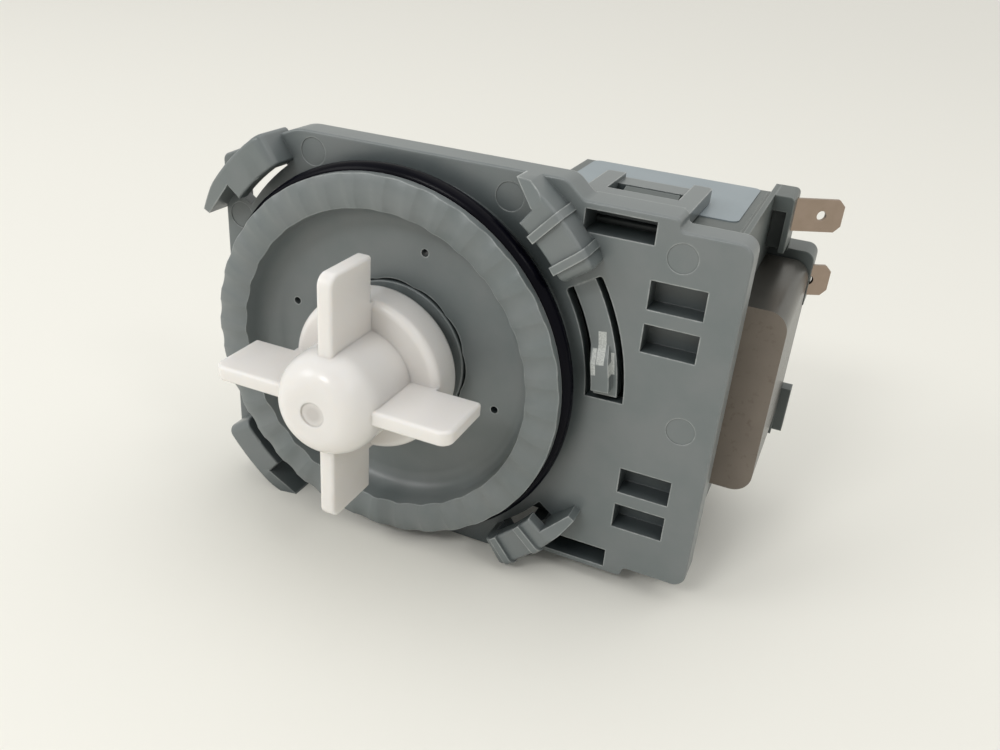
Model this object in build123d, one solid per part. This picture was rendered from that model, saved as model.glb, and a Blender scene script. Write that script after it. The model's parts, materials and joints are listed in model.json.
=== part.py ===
from build123d import *
import os
from math import asin, cos, degrees, radians, sin

# Dishwasher drain pump with a bayonet flange, in millimetres.
# The shaft is the Y axis and the impeller points to -Y. The front face of the plate is the plane
# Y = 0, X runs along the plate towards the terminals and Z is up.
# A depth is a place along Y, so what stands in front of the plate has a negative depth.
# Angles are degrees about the shaft, from +X towards +Z as seen from the front.

# General fits
press_gap = 0.02
running_gap = 0.05
seat_gap = 0.1
sink = 0.5  # how far a feature reaches into the body that it stands on
same_place = 0.01  # within this, an edge counts as lying in a plane

# Shaft, bearings and washers
shaft_radius = 2.0
shaft_chamfer = 0.3
bearing_wall = 2.0
bearing_length = 6.0
grommet_wall = 1.6
bearing_boss_wall = 1.4
washer_radius = 4.5
washer_length = 1.0
end_float = 0.3

# Magnet and the can that it turns in
magnet_radius = 12.6
magnet_overhang = 0.25  # past each end of the iron stack
magnet_bore_radius = 5.0
magnet_collar = 1.2
magnet_collar_radius = 12.0
can_air_gap = 0.9
can_wall = 1.2

# Front cover and its seat in the floor of the cup
cover_ledge = 1.0
cover_gap = 0.1
cover_stand = 0.35
cover_wall = 2.0
cover_length = 5.5
cover_edge_round = 0.3
cover_shaft_gap = 0.5
seat_wall = 2.2
seat_lobe_count = 12
seat_lobe_reach = 0.4
seat_lobe_length = 1.5
seat_tail = 3.5

# Impeller
impeller_radius = 23.0
blade_count = 4
blade_thickness = 2.8
blade_length = 12.4
blade_tip_round = 2.2
blade_edge_round = 0.6
bell_cover = 0.2
bell_gap = 3.3
bell_length = 6.75
bell_wall = 1.6
bell_round = 1.6
hub_radius = 9.4
hub_length = 16.2
hub_wall = 2.2
hub_front_wall = 2.8
hub_dome_length = 6.4
hub_dome_width = 5.0
hub_gate_radius = 2.2
hub_gate_depth = 0.3
pilot_length = 1.2
hub_cap_wall = 2.0

# Coupling in the hub: the dog turns with the shaft and runs against a rubber shoe on the stop
dog_wall = 1.5
dog_side_gap = 0.5
dog_angle = 90.0
dog_width = 70.0
dog_end_gap = 0.8
stop_width = 90.0
shoe_side = 10.0
shoe_wall = 0.6
dog_shaft_stub = 0.8

# Cup with its fluted crown, in front of the plate
cup_side_gap = 6.0
cup_draft = 0.6
cup_wall = 3.8
cup_floor_depth = -2.2
cup_floor_wall = 2.6
cup_floor_round = 4.0
cup_height = 6.0
cup_rear_rim = 3.0
crown_lip = 2.2
crown_fall = 0.1
crown_rise = 0.6
flute_count = 36
flute_depth = 0.36
flute_radius = 5.5
flute_sweep_past = 8.0
drain_hole_count = 4
drain_hole_radius = 0.7
drain_hole_circle = 21.9
drain_hole_angle = 74.7
cup_rib_count = 6
cup_rib_wall = 1.5

# Rubber seal in its groove round the cup
seal_section_radius = 1.75
seal_side_gap = 0.15
seal_groove_rear = -2.6
seal_shoulder = 1.7

# Plate
plate_wall = 2.6
plate_depth = 5.7
shoulder_extra_depth = 0.8
rim_wall = 2.0
plate_margin = 3.0
plate_left_margin = 3.5
plate_tail = 25.4
plate_tall_right = 29.4
shoulder_run = 3.4
shoulder_round = 1.5
step_from_right = 11.8
step_drop = 2.0
left_edge_half_height = 30.5
left_corner_run = 16.5
left_corner_round = 1.5
top_left_round = 8.0
plate_bend_round = 3.0
plate_corner_round = 2.5
step_round = 0.9
plate_edge_round = 0.45
ejector_mark_radius = 2.5
ejector_mark_depth = 0.12
ejector_mark_places = [(-18.4, 34.4), (19.9, 33.3), (49.8, 28.9), (54.5, -1.2), (-34.9, 19.5)]

# Blind slots and open slots in the plate
slot_length = 9.3
slot_height = 5.05
slot_from_right = 5.7
slot_depth = 4.5
slot_wall = 1.2
slot_heights = [14.15, 21.8]
long_slot_inset = 0.3
long_slot_from_step = 3.6
long_slot_height = 3.8
long_slot_from_top = 1.2

# Bayonet hooks, one in each quarter turn
hook_count = 4
right_hook_quarters = [0, 3]
hook_gap = 4.4
hook_width = 6.1
hook_wall = 1.7
hook_front = -6.0
hook_arm_thickness = 2.5
hook_start = 34.8
hook_block_width = 2.8
hook_block_round = 0.8
hook_end_round = 1.8
left_hook_arm_end = 51.0
left_hook_lip_end = 63.0
left_hook_window_end = 56.0
right_hook_arm_end = 52.2
right_hook_lip_end = 59.6
right_hook_window_end = 52.2
hook_lip_overlap = 1.0
hook_lip_width = 2.9
hook_tip_width = 1.4
hook_lip_fall = 2.0
hook_edge_round = 0.5
hook_window_start = 37.8
hook_window_inset = 0.2
hook_window_from_wall = 0.5
hook_rib_angles = [38.7, 47.5]
hook_rib_width = 1.5
hook_rib_rise = 0.7
hook_rib_reach = 0.4
hook_rib_round = 1.5

# Sprung latch finger in its opening
latch_root_angle = 32.0
latch_opening_end = 1.4
latch_tip_angle = 2.7
latch_root_gap = 0.25
latch_root_round = 0.6
latch_from_crown = 2.0
latch_opening_width = 6.9
latch_side_gap = 1.5
latch_width = 4.2
latch_nib_rise = 1.7
latch_nib_start = 17.0
latch_nib_ramp = 5.0
latch_nib_step = 1.0
latch_nib_lip = 1.8

# Iron stack
stack_length = 30.5
pole_gap = 0.3
pole_back = 3.2
pole_overhang = 1.0
leg_width = 11.7
yoke_bar_width = 8.6
yoke_bar_gap = 0.3
yoke_corner_round = 3.6

# Bobbins and coils
leg_gap = 0.3
bobbin_wall = 1.0
bobbin_flange = 1.2
bobbin_inset = 0.7
bobbin_split = 0.15
bobbin_head = 2.0
bobbin_ridge_height = 1.2
bobbin_ridge_width = 1.0
bobbin_ridge_inset = 1.6
coil_middle_gap = 2.7
coil_gap = 0.25
coil_end_gap = 0.2

# Coil housing
housing_from_plate = 0.5
housing_from_pole = 4.3
housing_length = 36.7
housing_wall = 1.6
housing_room = 6.05
housing_slope_run = 9.0
housing_slope_drop = 5.5
housing_edge_round = 0.6

# Snap loops on the plate and the nubs that they hold
loop_gap = 0.4
loop_thickness = 2.3
loop_leg = 3.5
loop_corner_round = 1.0
loop_window_front = 15.0
loop_window_length = 7.0
loop_bar_length = 4.8
loop_bar_drop = 0.8
loop_left_gap = 1.6
loop_right_gap = 1.1
loop_to_rim_top = 1.4
nub_left = 33.5
nub_length = 10.0
nub_rise = 1.7
nub_front_gap = 0.4
nub_rear_gap = 0.2

# Label
label_thickness = 0.15
label_left_margin = 1.8
label_right_margin = 1.3
label_front = 17.5
label_corner_round = 1.5
label_nub_side_gap = 0.7
label_nub_rear_gap = 0.9

# Terminal block and its two flat blades
block_width = 3.75
block_front = 36.0
block_behind_stack = 0.1
block_recess_depth = 2.8
block_top_lip = 2.9
block_side_lip = 1.1
block_above_yoke = 3.3
block_web = 2.0
block_corner_round = 1.0
lower_block_width = 9.1
lower_block_front_gap = 0.5
lower_block_length = 7.0
lower_block_bottom = 9.0
lower_block_top = 20.0
lower_block_round = 2.0
blade_terminal_width = 6.3
blade_terminal_thickness = 0.8
blade_terminal_turn = 29.25
blade_terminal_chamfer = 1.2
blade_terminal_hole_radius = 0.95
blade_terminal_hole_from_tip = 4.25
upper_terminal_from_rear = 3.3
upper_terminal_from_top = 4.35
upper_terminal_shown = 9.5
lower_terminal_from_front = 3.15
lower_terminal_from_bottom = 4.5
lower_terminal_shown = 3.8
terminal_hidden = 3.0

# Protector and leads
protector_length = 14.0
protector_width = 6.0
protector_height = 4.5
protector_edge_round = 0.8
protector_left = 30.0
protector_front = 25.0
lead_radius = 0.45
lead_hole_gap = 0.15
lead_bend = 3.0
lead_knee = 51.0
coil_link_from_left = 20.0

# Strap behind the stack
strap_thickness = 2.5
strap_bottom = -21.0
strap_block_gap = 0.3
lug_bottom = -20.0
lug_top = -10.0
lug_width = 2.0
lug_front_gap = 0.5
lug_length = 3.0

# Radii that follow
bearing_radius = shaft_radius + bearing_wall
bearing_pocket_radius = bearing_radius + grommet_wall
bearing_boss_radius = bearing_pocket_radius + bearing_boss_wall
can_inner_radius = magnet_radius + can_air_gap
can_outer_radius = can_inner_radius + can_wall
pole_radius = can_outer_radius + pole_gap
cover_radius = can_inner_radius + cover_ledge
seat_radius = cover_radius + cover_gap
seat_outer_radius = seat_radius + seat_wall
bell_radius = cover_radius + bell_cover
hub_cavity_radius = hub_radius - hub_wall
cup_mouth_radius = impeller_radius + cup_side_gap
cup_floor_radius = cup_mouth_radius - cup_draft
seal_groove_radius = cup_mouth_radius + cup_wall
crown_outer_radius = seal_groove_radius + crown_lip
cup_rear_radius = cup_floor_radius + cup_rear_rim
hook_inner_radius = crown_outer_radius + hook_gap
hook_outer_radius = hook_inner_radius + hook_width
hook_wall_radius = hook_outer_radius - hook_wall
latch_opening_inner = crown_outer_radius + latch_from_crown
latch_opening_outer = latch_opening_inner + latch_opening_width
latch_inner_radius = latch_opening_inner + latch_side_gap
latch_outer_radius = latch_inner_radius + latch_width

# Legs of the yoke and the winding that fills the room between them, up from the shaft
leg_outer = pole_radius + pole_back
leg_inner = leg_outer - leg_width
coil_inner = coil_middle_gap / 2
coil_build = leg_inner - leg_gap - bobbin_wall - coil_inner

# Depths that follow
cup_mouth_depth = cup_floor_depth - cup_height
crown_outer_depth = cup_mouth_depth + crown_fall
cup_floor_rear = cup_floor_depth + cup_floor_wall
seal_groove_front = seal_groove_rear - 2 * (seal_section_radius + seal_side_gap)
cover_front = cup_floor_depth - cover_stand
cover_rear = cover_front + cover_wall
seat_ledge = cover_front + cover_length
seat_rear = seat_ledge + seat_tail
bell_rear = cover_front - bell_gap
bell_front = bell_rear - bell_length
hub_front = bell_front - hub_length
hub_cavity_front = hub_front + hub_front_wall
hub_cavity_rear = bell_front + bell_wall
hub_cap_front = hub_cavity_rear - hub_cap_wall
dog_front = hub_cavity_front + dog_end_gap
dog_rear = hub_cap_front - dog_end_gap
shaft_front = dog_front - dog_shaft_stub - dog_end_gap / 2
front_bearing_rear = cover_rear + bearing_length
shoulder_depth = plate_depth + shoulder_extra_depth
housing_front = shoulder_depth + housing_from_plate
coil_front = housing_front + housing_wall + coil_gap
bobbin_tube_front = coil_front + coil_build
stack_front = bobbin_tube_front + bobbin_wall + leg_gap
stack_rear = stack_front + stack_length
bobbin_tube_rear = stack_rear + leg_gap + bobbin_wall
coil_rear = bobbin_tube_rear + coil_build
housing_rear = coil_rear + coil_gap + housing_wall
magnet_front = stack_front - magnet_overhang
magnet_rear = stack_rear + magnet_overhang
sleeve_front = front_bearing_rear + end_float + washer_length
sleeve_rear = magnet_rear + magnet_collar
rear_bearing_front = sleeve_rear + washer_length + end_float
rear_bearing_rear = rear_bearing_front + bearing_length
can_end = rear_bearing_front + can_wall
loop_window_rear = loop_window_front + loop_window_length
loop_rear = loop_window_rear + loop_bar_length
nub_front = loop_window_front + nub_front_gap
nub_rear = loop_window_rear - nub_rear_gap
block_rear = stack_rear + block_behind_stack
lower_block_front = stack_rear + lower_block_front_gap
upper_terminal_exit = block_rear - upper_terminal_from_rear
lower_terminal_exit = lower_block_front + lower_terminal_from_front

# Heights that follow, above and below the shaft alike
coil_outer = leg_outer + leg_gap + bobbin_wall + coil_build
housing_half_height = coil_outer + housing_room + housing_wall
loop_bottom = housing_half_height + loop_gap
loop_top = loop_bottom + loop_thickness
shoulder_half_height = loop_top + loop_to_rim_top
right_half_height = shoulder_half_height - step_drop
plate_half_height = crown_outer_radius + plate_margin
block_top = housing_half_height + bobbin_ridge_height
block_bottom = leg_outer + block_above_yoke
upper_terminal_height = block_top - upper_terminal_from_top
lower_terminal_height = lower_block_bottom + lower_terminal_from_bottom

# Places along X that follow
plate_left = -(crown_outer_radius + plate_left_margin)
plate_right = crown_outer_radius + plate_tail
plate_step = plate_right - step_from_right
housing_left = pole_radius + housing_from_pole
housing_right = housing_left + housing_length
bobbin_left = housing_left + bobbin_inset
bobbin_right = housing_right + bobbin_head
coil_left = bobbin_left + bobbin_flange + coil_end_gap
coil_right = housing_right - coil_end_gap
yoke_bar_left = bobbin_right + yoke_bar_gap
yoke_right = yoke_bar_left + yoke_bar_width
nub_right = nub_left + nub_length
block_right = bobbin_right + block_width
lower_block_right = bobbin_right + lower_block_width


def polar(radius, angle):
    """Point on a circle about the shaft, as seen from the front."""
    return radius * cos(radians(angle)), radius * sin(radians(angle))


def sector(inner, outer, start, end):
    """Outline of a piece of a flat ring about the shaft, between two angles."""
    return make_face(
        [
            CenterArc((0, 0), outer, start, end - start),
            Line(polar(outer, end), polar(inner, end)),
            CenterArc((0, 0), inner, start, end - start),
            Line(polar(inner, start), polar(outer, start)),
        ]
    )


def slab(outline, front, rear):
    """Solid of an outline, drawn as seen from the front, between two depths."""
    return extrude(Plane.XZ.offset(-rear) * outline, rear - front)


def bar(section, left, right):
    """Solid of a section, drawn with depth across and height up, between two places along X."""
    return extrude(Plane.YZ.offset(left) * section, right - left)


def box(x, depth, height):
    """Box between the pairs of limits along X, Y and Z."""
    middle = [sum(limits) / 2 for limits in (x, depth, height)]
    size = [abs(limits[1] - limits[0]) for limits in (x, depth, height)]
    return Pos(*middle) * Box(*size)


def ring(inner, outer, front, rear):
    """Ring about the shaft."""
    outline = Circle(outer)
    if inner > 0:
        outline -= Circle(inner)
    return slab(outline, front, rear)


def turn(angle, shape):
    """Copy of a shape, turned about the shaft from +X towards +Z."""
    return Rot(0, -angle, 0) * shape


def shave(angle, depth, slope):
    """Cutter whose rear face passes through the radial line at an angle and a depth.

    The face falls back by the slope, in degrees, on the side of larger angles.
    """
    size = 4 * crown_outer_radius
    cutter = Rot(-slope, 0, 0) * Pos(0, -size / 2, 0) * Box(size, size, size)
    return turn(angle, Pos(0, depth, 0) * cutter)


def both_sides(shape):
    """A shape above the shaft and its mirror image below."""
    return [shape, mirror(shape, Plane.XY)]


def plate_points():
    """Upper corners of the plate from left to right, each with its rounding."""
    return [
        (plate_left, left_edge_half_height, left_corner_round),
        (plate_left + left_corner_run, plate_half_height, top_left_round),
        (plate_tall_right, plate_half_height, plate_bend_round),
        (plate_tall_right + shoulder_run, shoulder_half_height, shoulder_round),
        (plate_step, shoulder_half_height, step_round),
        (plate_step, right_half_height, step_round),
        (plate_right, right_half_height, plate_corner_round),
    ]


def plate():
    """Flat front wall with its rim, open at the rear."""
    upper = plate_points()
    lower = [(x, -z, rounding) for x, z, rounding in reversed(upper)]
    corners = [(x, z) for x, z, _ in upper + lower]
    roundings = [rounding for _, _, rounding in upper + lower]
    outline = make_face(FilletPolyline(*corners, close=True, radius=roundings))
    body = slab(outline, 0, plate_depth)
    body = fillet(body.faces().sort_by(Axis.Y)[0].outer_wire().edges(), plate_edge_round)
    inside = offset(outline, -rim_wall)
    body -= slab(inside, plate_wall, plate_depth)
    shoulder = box(
        (plate_tall_right + shoulder_run, plate_step - step_round),
        (plate_depth - sink, shoulder_depth),
        (right_half_height, shoulder_half_height),
    )
    return body + both_sides(shoulder)


def cup_and_can():
    """Turned wall of the cup, the seat of the cover, the can and its rear bearing boss."""
    crown_start = Vector(cup_mouth_radius, cup_mouth_depth)
    crown_end = Vector(crown_outer_radius, crown_outer_depth)
    chord = crown_end - crown_start
    outward = Vector(chord.Y, -chord.X).normalized()
    crown_top = (crown_start + crown_end) / 2 + outward * crown_rise
    inside = FilletPolyline(
        (seat_radius, cup_floor_depth),
        (cup_floor_radius, cup_floor_depth),
        (cup_mouth_radius, cup_mouth_depth),
        radius=cup_floor_round,
    )
    crown = ThreePointArc(crown_start, crown_top, crown_end)
    outside = Polyline(
        (crown_outer_radius, crown_outer_depth),
        (crown_outer_radius, seal_groove_front),
        (seal_groove_radius, seal_groove_front),
        (seal_groove_radius, seal_groove_rear),
        (seal_groove_radius + seal_shoulder, seal_groove_rear),
        (seal_groove_radius + seal_shoulder, plate_wall),
        (cup_rear_radius, plate_wall),
        (cup_rear_radius, cup_floor_rear),
        (seat_outer_radius, cup_floor_rear),
        (seat_outer_radius, seat_rear),
        (can_outer_radius, seat_rear),
        (can_outer_radius, can_end),
        (bearing_boss_radius, can_end),
        (bearing_boss_radius, rear_bearing_rear + bearing_boss_wall),
        (0, rear_bearing_rear + bearing_boss_wall),
        (0, rear_bearing_rear),
        (bearing_pocket_radius, rear_bearing_rear),
        (bearing_pocket_radius, rear_bearing_front),
        (can_inner_radius, rear_bearing_front),
        (can_inner_radius, seat_ledge),
        (seat_radius, seat_ledge),
        (seat_radius, cup_floor_depth),
    )
    body = revolve(make_face([inside, crown, outside]), Axis.Y)

    half_chord = chord.length / 2
    arc_radius = (half_chord**2 + crown_rise**2) / (2 * crown_rise)
    arc_centre = crown_top - outward * arc_radius
    tangential = Axis((arc_centre.X, arc_centre.Y, 0), (0, 0, 1))
    flute_centre = arc_centre + outward * (arc_radius - flute_depth + flute_radius)
    flute_plane = Plane(flute_centre, x_dir=outward, z_dir=chord.normalized())
    sweep_half = degrees(asin(half_chord / arc_radius)) + flute_sweep_past
    flute = revolve(flute_plane * Circle(flute_radius), tangential, 2 * sweep_half)
    flute = flute.rotate(tangential, -sweep_half)
    pitch = 360 / flute_count
    return body - [turn((i + 0.5) * pitch, flute) for i in range(flute_count)]


def seat_lobes():
    """Shallow lobed recess round the cover, in the floor of the cup."""
    reach = seat_radius + seat_lobe_reach
    half_pitch = radians(180 / seat_lobe_count)
    across = reach**2 + seat_radius**2 - 2 * reach * seat_radius * cos(half_pitch)
    lobe_radius = across / (2 * (reach - seat_radius * cos(half_pitch)))
    lobe = Pos(reach - lobe_radius, 0) * Circle(lobe_radius)
    lobes = [Rot(0, 0, i * 360 / seat_lobe_count) * lobe for i in range(seat_lobe_count)]
    outline = lobes[0] + lobes[1:]
    return slab(outline, cup_floor_depth - sink, cup_floor_depth + seat_lobe_length)


def hook(arm_end, lip_end, with_front_ribs):
    """One bayonet hook: end block, arm over the gap, outer wall and its pointed lip."""
    arm = sector(hook_inner_radius, hook_outer_radius, hook_start, arm_end)
    block = sector(hook_inner_radius, hook_outer_radius, hook_start, hook_start + hook_block_width)
    wall = sector(hook_wall_radius, hook_outer_radius, hook_start, lip_end)
    lip = sector(hook_outer_radius - hook_lip_width, hook_outer_radius, arm_end - hook_lip_overlap, lip_end)
    lip -= lip_taper(arm_end, lip_end)
    wall -= lip_taper(arm_end, lip_end)
    lip_length = radians(lip_end - arm_end) * hook_outer_radius
    slope = degrees(asin(hook_lip_fall / lip_length))

    body = slab(arm, hook_front, hook_front + hook_arm_thickness)
    body += slab(block, hook_front, plate_wall)
    body += slab(wall, hook_front, plate_wall)
    body += slab(lip, hook_front, plate_wall)
    body -= shave(arm_end, hook_front, slope)
    end = polar((hook_inner_radius + hook_outer_radius) / 2, hook_start)
    body = fillet(front_edges(body, end)[0], hook_end_round)
    corner = polar(hook_outer_radius, hook_start)
    corner_edge = body.edges().filter_by(Axis.Y).sort_by_distance((corner[0], 0, corner[1]))[0]
    body = fillet(corner_edge, hook_block_round)
    crease = polar(hook_outer_radius - hook_lip_width / 2, arm_end)
    body = fillet(front_edges(body, crease)[1:], hook_edge_round)
    return body + [turn(angle, hook_rib(with_front_ribs)) for angle in hook_rib_angles]


def front_edges(body, place):
    """Edges of a hook in its front plane, the nearest to a place first."""
    edges = body.edges().filter_by_position(Axis.Y, hook_front - same_place, hook_front + same_place)
    return edges.sort_by_distance((place[0], hook_front, place[1]))


def lip_taper(arm_end, lip_end):
    """What the lip loses on its inner side, from its root to its narrow tip."""
    root = polar(hook_outer_radius - hook_lip_width, arm_end)
    tip = polar(hook_outer_radius - hook_tip_width, lip_end)
    past_tip = polar(hook_inner_radius, lip_end + hook_lip_overlap)
    return make_face(Polyline(root, tip, past_tip, polar(hook_inner_radius, arm_end), close=True))


def hook_rib(with_front):
    """Rib down the outer wall of a hook, with or without its run across the arm."""
    inner = (hook_wall_radius + hook_outer_radius) / 2
    outer = hook_outer_radius + hook_rib_reach
    if with_front:
        front = hook_front - hook_rib_rise
        across = hook_inner_radius - seat_gap
        under = hook_front + hook_arm_thickness / 2
        corners = [(inner, 0), (outer, 0), (outer, front), (across, front), (across, under), (inner, under)]
        outline = make_face(Polyline(*corners, close=True))
        outer_corner = outline.vertices().sort_by_distance((outer, front))[0]
        outline = fillet(outer_corner, hook_rib_round)
    else:
        front = hook_front + sink
        corners = [(inner, 0), (outer, 0), (hook_outer_radius - hook_edge_round, front), (inner, front)]
        outline = make_face(Polyline(*corners, close=True))
    return extrude(outline, hook_rib_width / 2, both=True)


def hook_window(window_end):
    """Opening in the plate under the arm of a hook, left by the mould."""
    inner = hook_inner_radius - hook_window_inset
    outer = hook_wall_radius - hook_window_from_wall
    return slab(sector(inner, outer, hook_window_start, window_end), -sink, plate_depth)


def loop():
    """Snap loop above the housing: base, two legs and the cross bar behind the nub."""
    window = (nub_left - loop_left_gap, nub_right + loop_right_gap)
    outer = (window[0] - loop_leg, window[1] + loop_leg)
    body = box(outer, (plate_wall - sink, loop_rear), (loop_bottom, loop_top))
    body = fillet(body.edges().filter_by(Axis.Z).group_by(Axis.Y)[-1], loop_corner_round)
    body -= box(window, (loop_window_front, loop_window_rear), (loop_bottom, loop_top))
    body -= box(window, (loop_window_rear, loop_rear), (loop_top - loop_bar_drop, loop_top))
    return body


def slot_frame(height, grow):
    """Outline block of one blind slot, grown by a wall."""
    right = plate_right - slot_from_right
    return box(
        (right - slot_length - grow, right + grow),
        (-sink if grow == 0 else plate_wall - sink, slot_depth + grow),
        (height - slot_height / 2 - grow, height + slot_height / 2 + grow),
    )


def long_slot(grow):
    """Outline block of one long open slot, grown by a wall below and at both ends."""
    left = plate_tall_right + shoulder_run + long_slot_inset
    top = shoulder_half_height - long_slot_from_top
    return box(
        (left - grow, plate_step - long_slot_from_step + grow),
        (-sink if grow == 0 else plate_wall - sink, shoulder_depth),
        (top - long_slot_height - grow, top),
    )


def mounting_flange():
    """Grey moulding: plate, cup, can, hooks and snap loops in one."""
    body = plate()
    body -= ring(0, seal_groove_radius, -sink, plate_depth)
    body += cup_and_can()
    body -= seat_lobes()
    for i in range(cup_rib_count):
        rib = box(
            (seat_outer_radius - sink, cup_rear_radius + sink),
            (cup_floor_rear - sink, plate_depth),
            (-cup_rib_wall / 2, cup_rib_wall / 2),
        )
        body += turn(i * 360 / cup_rib_count, rib)
    for i in range(drain_hole_count):
        hole = slab(Pos(drain_hole_circle, 0) * Circle(drain_hole_radius), cup_mouth_depth, plate_depth)
        body -= turn(drain_hole_angle + i * 360 / drain_hole_count, hole)
    right_hook = hook(right_hook_arm_end, right_hook_lip_end, True)
    left_hook = hook(left_hook_arm_end, left_hook_lip_end, False)
    reach = (-hook_outer_radius - hook_rib_reach, hook_outer_radius + hook_rib_reach)
    upright = (-plate_half_height, plate_half_height)
    within_plate = box(reach, (hook_front - hook_rib_rise, plate_wall), upright)
    for i in range(hook_count):
        on_right = i in right_hook_quarters
        shape = right_hook if on_right else left_hook
        window_end = right_hook_window_end if on_right else left_hook_window_end
        body += turn(360 * i / hook_count, shape) & within_plate
        body -= turn(360 * i / hook_count, hook_window(window_end))
    for height in slot_heights:
        body += both_sides(slot_frame(height, slot_wall))
        body -= both_sides(slot_frame(height, 0))
    body += both_sides(loop())
    body += both_sides(long_slot(slot_wall))
    body -= both_sides(long_slot(0))
    opening = sector(latch_opening_inner, latch_opening_outer, latch_opening_end, latch_root_angle)
    root = polar((latch_opening_inner + latch_opening_outer) / 2, latch_root_angle)
    opening = fillet(opening.vertices().sort_by_distance((root[0], root[1]))[:2], latch_root_round)
    body -= slab(opening, -sink, plate_depth)
    for x, z in ejector_mark_places:
        body -= Pos(x, 0, z) * Rot(90, 0, 0) * Cylinder(ejector_mark_radius, 2 * ejector_mark_depth)
    return body


def latch_finger():
    """Flat spring finger with a raised nib near its free end."""
    root = latch_root_angle - degrees(latch_root_gap / latch_outer_radius)
    body = slab(sector(latch_inner_radius, latch_outer_radius, latch_tip_angle, root), 0, plate_wall)
    nib_tip = latch_tip_angle + latch_nib_lip
    nib_outer = latch_outer_radius - latch_nib_step
    nib = slab(sector(latch_inner_radius, nib_outer, nib_tip, latch_nib_start), -latch_nib_rise, sink)
    ramp_length = radians(latch_nib_ramp) * latch_inner_radius
    ramp = degrees(asin(latch_nib_rise / ramp_length))
    nib -= shave(latch_nib_start - latch_nib_ramp, -latch_nib_rise, ramp)
    return body + nib


def seal_ring():
    """Rubber ring in the groove round the cup."""
    middle = seal_groove_rear - seal_section_radius - seal_side_gap
    radius = seal_groove_radius + seal_section_radius + press_gap
    return Pos(0, middle, 0) * Rot(90, 0, 0) * Torus(radius, seal_section_radius)


def front_cover():
    """Round cover in the floor of the cup, with its skirt and bearing boss."""
    body = ring(0, cover_radius, cover_front, seat_ledge)
    body = fillet(body.edges().group_by(Axis.Y)[0], cover_edge_round)
    body -= ring(bearing_boss_radius, can_inner_radius, cover_rear, seat_ledge)
    body += ring(bearing_pocket_radius, bearing_boss_radius, cover_rear - sink, front_bearing_rear)
    body -= ring(0, bearing_pocket_radius, cover_rear, front_bearing_rear)
    return body - ring(0, shaft_radius + cover_shaft_gap, cover_front, cover_rear)


def bearing(front):
    """Plain sleeve bearing on the shaft."""
    return ring(shaft_radius + running_gap, bearing_radius, front, front + bearing_length)


def grommet(front):
    """Rubber ring between a bearing and its boss."""
    outer = bearing_pocket_radius - press_gap
    return ring(bearing_radius + press_gap, outer, front, front + bearing_length)


def thrust_washer(front):
    """Washer between the magnet's sleeve and a bearing."""
    return ring(shaft_radius + press_gap, washer_radius, front, front + washer_length)


def rotor_shaft():
    """Ground shaft through both bearings."""
    body = ring(0, shaft_radius, shaft_front, rear_bearing_rear - end_float)
    return chamfer(body.edges(), shaft_chamfer)


def rotor_magnet():
    """Ferrite ring, magnetised across its width."""
    return ring(magnet_bore_radius + press_gap, magnet_radius, magnet_front, magnet_rear)


def magnet_sleeve():
    """Plastic body moulded between shaft and magnet, with a collar at each end."""
    body = ring(0, magnet_bore_radius, sleeve_front, sleeve_rear)
    body += ring(0, magnet_collar_radius, magnet_front - magnet_collar, magnet_front)
    body += ring(0, magnet_collar_radius, magnet_rear, sleeve_rear)
    return body - ring(0, shaft_radius + press_gap, sleeve_front, sleeve_rear)


def drive_dog():
    """Dog on the shaft, with the lug that drives the impeller."""
    core = shaft_radius + dog_wall
    body = ring(0, core, dog_front, dog_rear)
    half = dog_width / 2
    lug = sector(core - sink, hub_cavity_radius - dog_side_gap, dog_angle - half, dog_angle + half)
    body += slab(lug, dog_front, dog_rear)
    return body - ring(0, shaft_radius + press_gap, dog_front, dog_rear)


def stop_outline(side, inner, outer):
    """Outline of the impeller's stop, opposite the dog, wider by a number of degrees on each side."""
    middle = dog_angle + 180
    half = stop_width / 2 + side
    return sector(inner, outer, middle - half, middle + half)


def coupling_damper():
    """Rubber shoe over the stop in the hub."""
    inner = shaft_radius + dog_wall + dog_side_gap
    outer = hub_cavity_radius - press_gap
    shoe = stop_outline(shoe_side, inner, outer) - stop_outline(0, inner + shoe_wall, outer)
    return slab(shoe, hub_cavity_front + press_gap, hub_cap_front - press_gap)


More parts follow.
